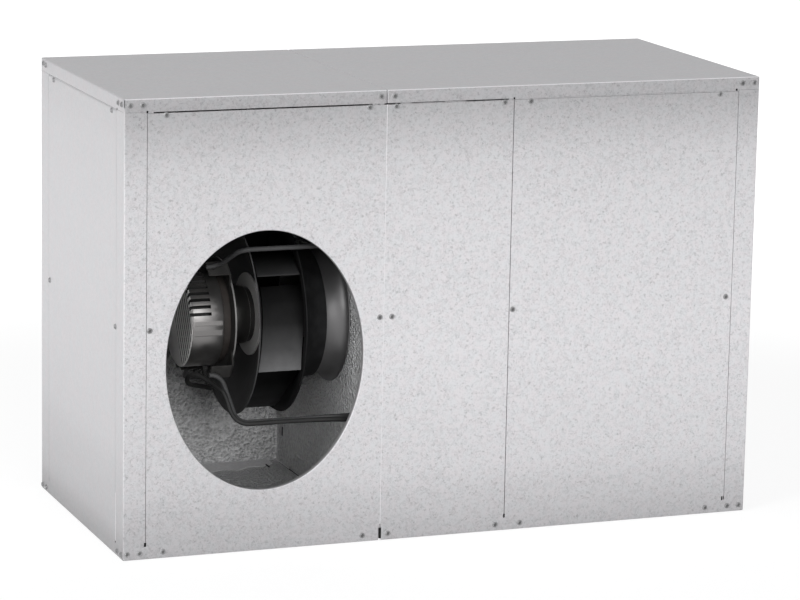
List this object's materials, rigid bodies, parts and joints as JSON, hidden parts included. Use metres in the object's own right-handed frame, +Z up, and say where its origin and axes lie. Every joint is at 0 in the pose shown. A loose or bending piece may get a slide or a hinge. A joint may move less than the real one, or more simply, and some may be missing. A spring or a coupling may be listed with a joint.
{
  "type": "ducted air conditioner indoor unit",
  "caption": "Galvanised ducted indoor unit: a two-module sheet-metal cabinet with an oval air outlet in front of a plug fan with an inlet ring.",
  "frame": {"origin": "middle of the footprint, on the floor", "axes": "+X to the right along the front, +Y to the back, +Z up; the front with the oval outlet faces -Y and the fan shaft lies along X"},
  "size_m": [1.12, 0.5, 0.76],
  "materials": {
    "galvanised_sheet": "spangled galvanised",
    "cover_sheet": "smooth galvanised, grey",
    "end_sheet": "smooth galvanised",
    "lining_foam": "hammered texture, dark grey",
    "fan_black": "black, satin",
    "motor_casting": "dark cast, satin",
    "ring_metal": "dark grey, semi-gloss",
    "lead_black": "black, satin"
  },
  "bodies": {
    "cabinet": {"fan_base_tray": "galvanised_sheet", "coil_base_tray": "galvanised_sheet", "fan_back_panel": "galvanised_sheet", "coil_back_panel": "galvanised_sheet", "left_front_post": "galvanised_sheet", "right_front_post": "galvanised_sheet", "left_rear_post": "galvanised_sheet", "right_rear_post": "galvanised_sheet", "left_access_panel": "galvanised_sheet", "middle_panel": "galvanised_sheet", "right_access_panel": "galvanised_sheet", "partition_panel": "galvanised_sheet", "fan_top_cover": "cover_sheet", "coil_top_cover": "cover_sheet", "left_end_panel": "end_sheet", "right_end_panel": "end_sheet", "floor_lining": "lining_foam", "left_lining": "lining_foam", "back_lining": "lining_foam", "roof_lining": "lining_foam", "partition_lining": "lining_foam", "support_rod_1": "fan_black", "support_rod_2": "fan_black", "support_rod_3": "fan_black", "support_rod_4": "fan_black", "motor_housing": "motor_casting", "motor_support_plate": "motor_casting", "inlet_ring": "ring_metal", "fan_lead": "lead_black", "motor_lead_gland": "lead_black", "partition_lead_gland": "lead_black"},
    "fan_wheel": {"wheel_hub": "fan_black", "wheel_back_plate": "fan_black", "wheel_shroud": "fan_black", "wheel_blade_1": "fan_black", "wheel_blade_2": "fan_black", "wheel_blade_3": "fan_black", "wheel_blade_4": "fan_black", "wheel_blade_5": "fan_black", "wheel_blade_6": "fan_black"}
  },
  "joints": [
    {"name": "fan_shaft", "type": "hinge", "parent": "cabinet", "child": "fan_wheel", "pos_m": [-0.3101, -0.028, 0.3515], "axis": [1, 0, 0], "continuous": true}
  ]
}
